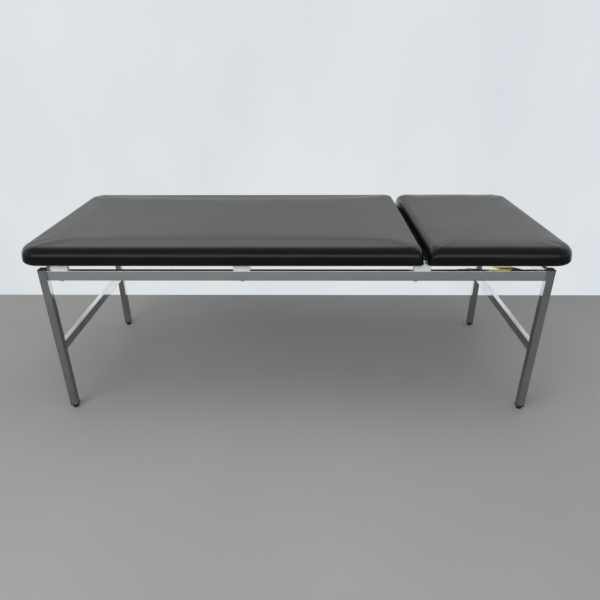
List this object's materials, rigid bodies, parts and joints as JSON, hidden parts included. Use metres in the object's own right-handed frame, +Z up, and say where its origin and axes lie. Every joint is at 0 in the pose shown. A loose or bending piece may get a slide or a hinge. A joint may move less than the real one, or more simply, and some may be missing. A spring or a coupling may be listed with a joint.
{
  "type": "massage table",
  "caption": "Flat massage and examination table: chromed box-tube frame, black padded main top and a separate padded headrest that tilts up on ratchet stays.",
  "frame": {"origin": "on the floor under the middle of the table", "axes": "+Z up, +X along the table towards the headrest, +Y towards the back side"},
  "size_m": [1.95, 0.76, 0.691],
  "materials": {
    "chromed_tube": "bright chrome plate on box tube",
    "black_plastic": "moulded, satin",
    "white_nylon": "cut nylon, matt",
    "birch_board": "plain plywood",
    "black_vinyl": "smooth upholstery vinyl over foam, soft sheen",
    "yellow_zinc": "yellow passivated zinc plate",
    "black_steel": "black enamelled steel strip",
    "bright_zinc": "bright zinc plate"
  },
  "bodies": {
    "frame": {"back_foot_end_block": "white_nylon", "back_hinge_end_block": "white_nylon", "back_left_foot": "black_plastic", "back_left_leg": "chromed_tube", "back_left_leg_cap": "black_plastic", "back_middle_block": "white_nylon", "back_rail": "chromed_tube", "back_right_foot": "black_plastic", "back_right_leg": "chromed_tube", "back_right_leg_cap": "black_plastic", "back_stay_base": "yellow_zinc", "block_bolts": "bright_zinc", "front_foot_end_block": "white_nylon", "front_hinge_end_block": "white_nylon", "front_left_foot": "black_plastic", "front_left_leg": "chromed_tube", "front_left_leg_cap": "black_plastic", "front_middle_block": "white_nylon", "front_rail": "chromed_tube", "front_right_foot": "black_plastic", "front_right_leg": "chromed_tube", "front_right_leg_cap": "black_plastic", "front_stay_base": "yellow_zinc", "hinge_pin": "black_steel", "left_end_rail": "chromed_tube", "left_stretcher": "chromed_tube", "main_board": "birch_board", "main_cushion": "black_vinyl", "main_hinge_leaf": "black_steel", "rest_buffers": "white_nylon", "right_end_rail": "chromed_tube", "right_stretcher": "chromed_tube", "tee_nuts": "bright_zinc"},
    "headrest": {"back_stay_bracket": "yellow_zinc", "bracket_screws": "bright_zinc", "front_stay_bracket": "yellow_zinc", "head_board": "birch_board", "head_cushion": "black_vinyl", "head_hinge_leaf": "black_steel"},
    "front_lower_arm": {"front_stay_lower_arm": "yellow_zinc", "front_stay_pawl": "yellow_zinc"},
    "back_lower_arm": {"back_stay_lower_arm": "yellow_zinc", "back_stay_pawl": "yellow_zinc"},
    "front_upper_arm": {"front_stay_ratchet": "yellow_zinc", "front_stay_upper_arm": "yellow_zinc"},
    "back_upper_arm": {"back_stay_ratchet": "yellow_zinc", "back_stay_upper_arm": "yellow_zinc"}
  },
  "joints": [
    {"name": "headrest_tilt", "type": "hinge", "parent": "frame", "child": "headrest", "pos_m": [0.455, 0, 0.64], "axis": [0, -1, 0], "range_deg": [0, 35]},
    {"name": "front_lower_arm_turn", "type": "hinge", "parent": "frame", "child": "front_lower_arm", "pos_m": [0.615, -0.327, 0.593], "axis": [0, -1, 0], "range_deg": [0, 35]},
    {"name": "front_upper_arm_turn", "type": "hinge", "parent": "headrest", "child": "front_upper_arm", "pos_m": [0.7, -0.3235, 0.616], "axis": [0, -1, 0], "range_deg": [-35, 0]},
    {"name": "back_lower_arm_turn", "type": "hinge", "parent": "frame", "child": "back_lower_arm", "pos_m": [0.615, 0.327, 0.593], "axis": [0, -1, 0], "range_deg": [0, 35]},
    {"name": "back_upper_arm_turn", "type": "hinge", "parent": "headrest", "child": "back_upper_arm", "pos_m": [0.7, 0.3235, 0.616], "axis": [0, -1, 0], "range_deg": [-35, 0]}
  ],
  "couplings": [
    {"joint": "front_lower_arm_turn", "follows": "headrest_tilt", "ratio": 1},
    {"joint": "front_upper_arm_turn", "follows": "headrest_tilt", "ratio": -1},
    {"joint": "back_lower_arm_turn", "follows": "headrest_tilt", "ratio": 1},
    {"joint": "back_upper_arm_turn", "follows": "headrest_tilt", "ratio": -1}
  ]
}
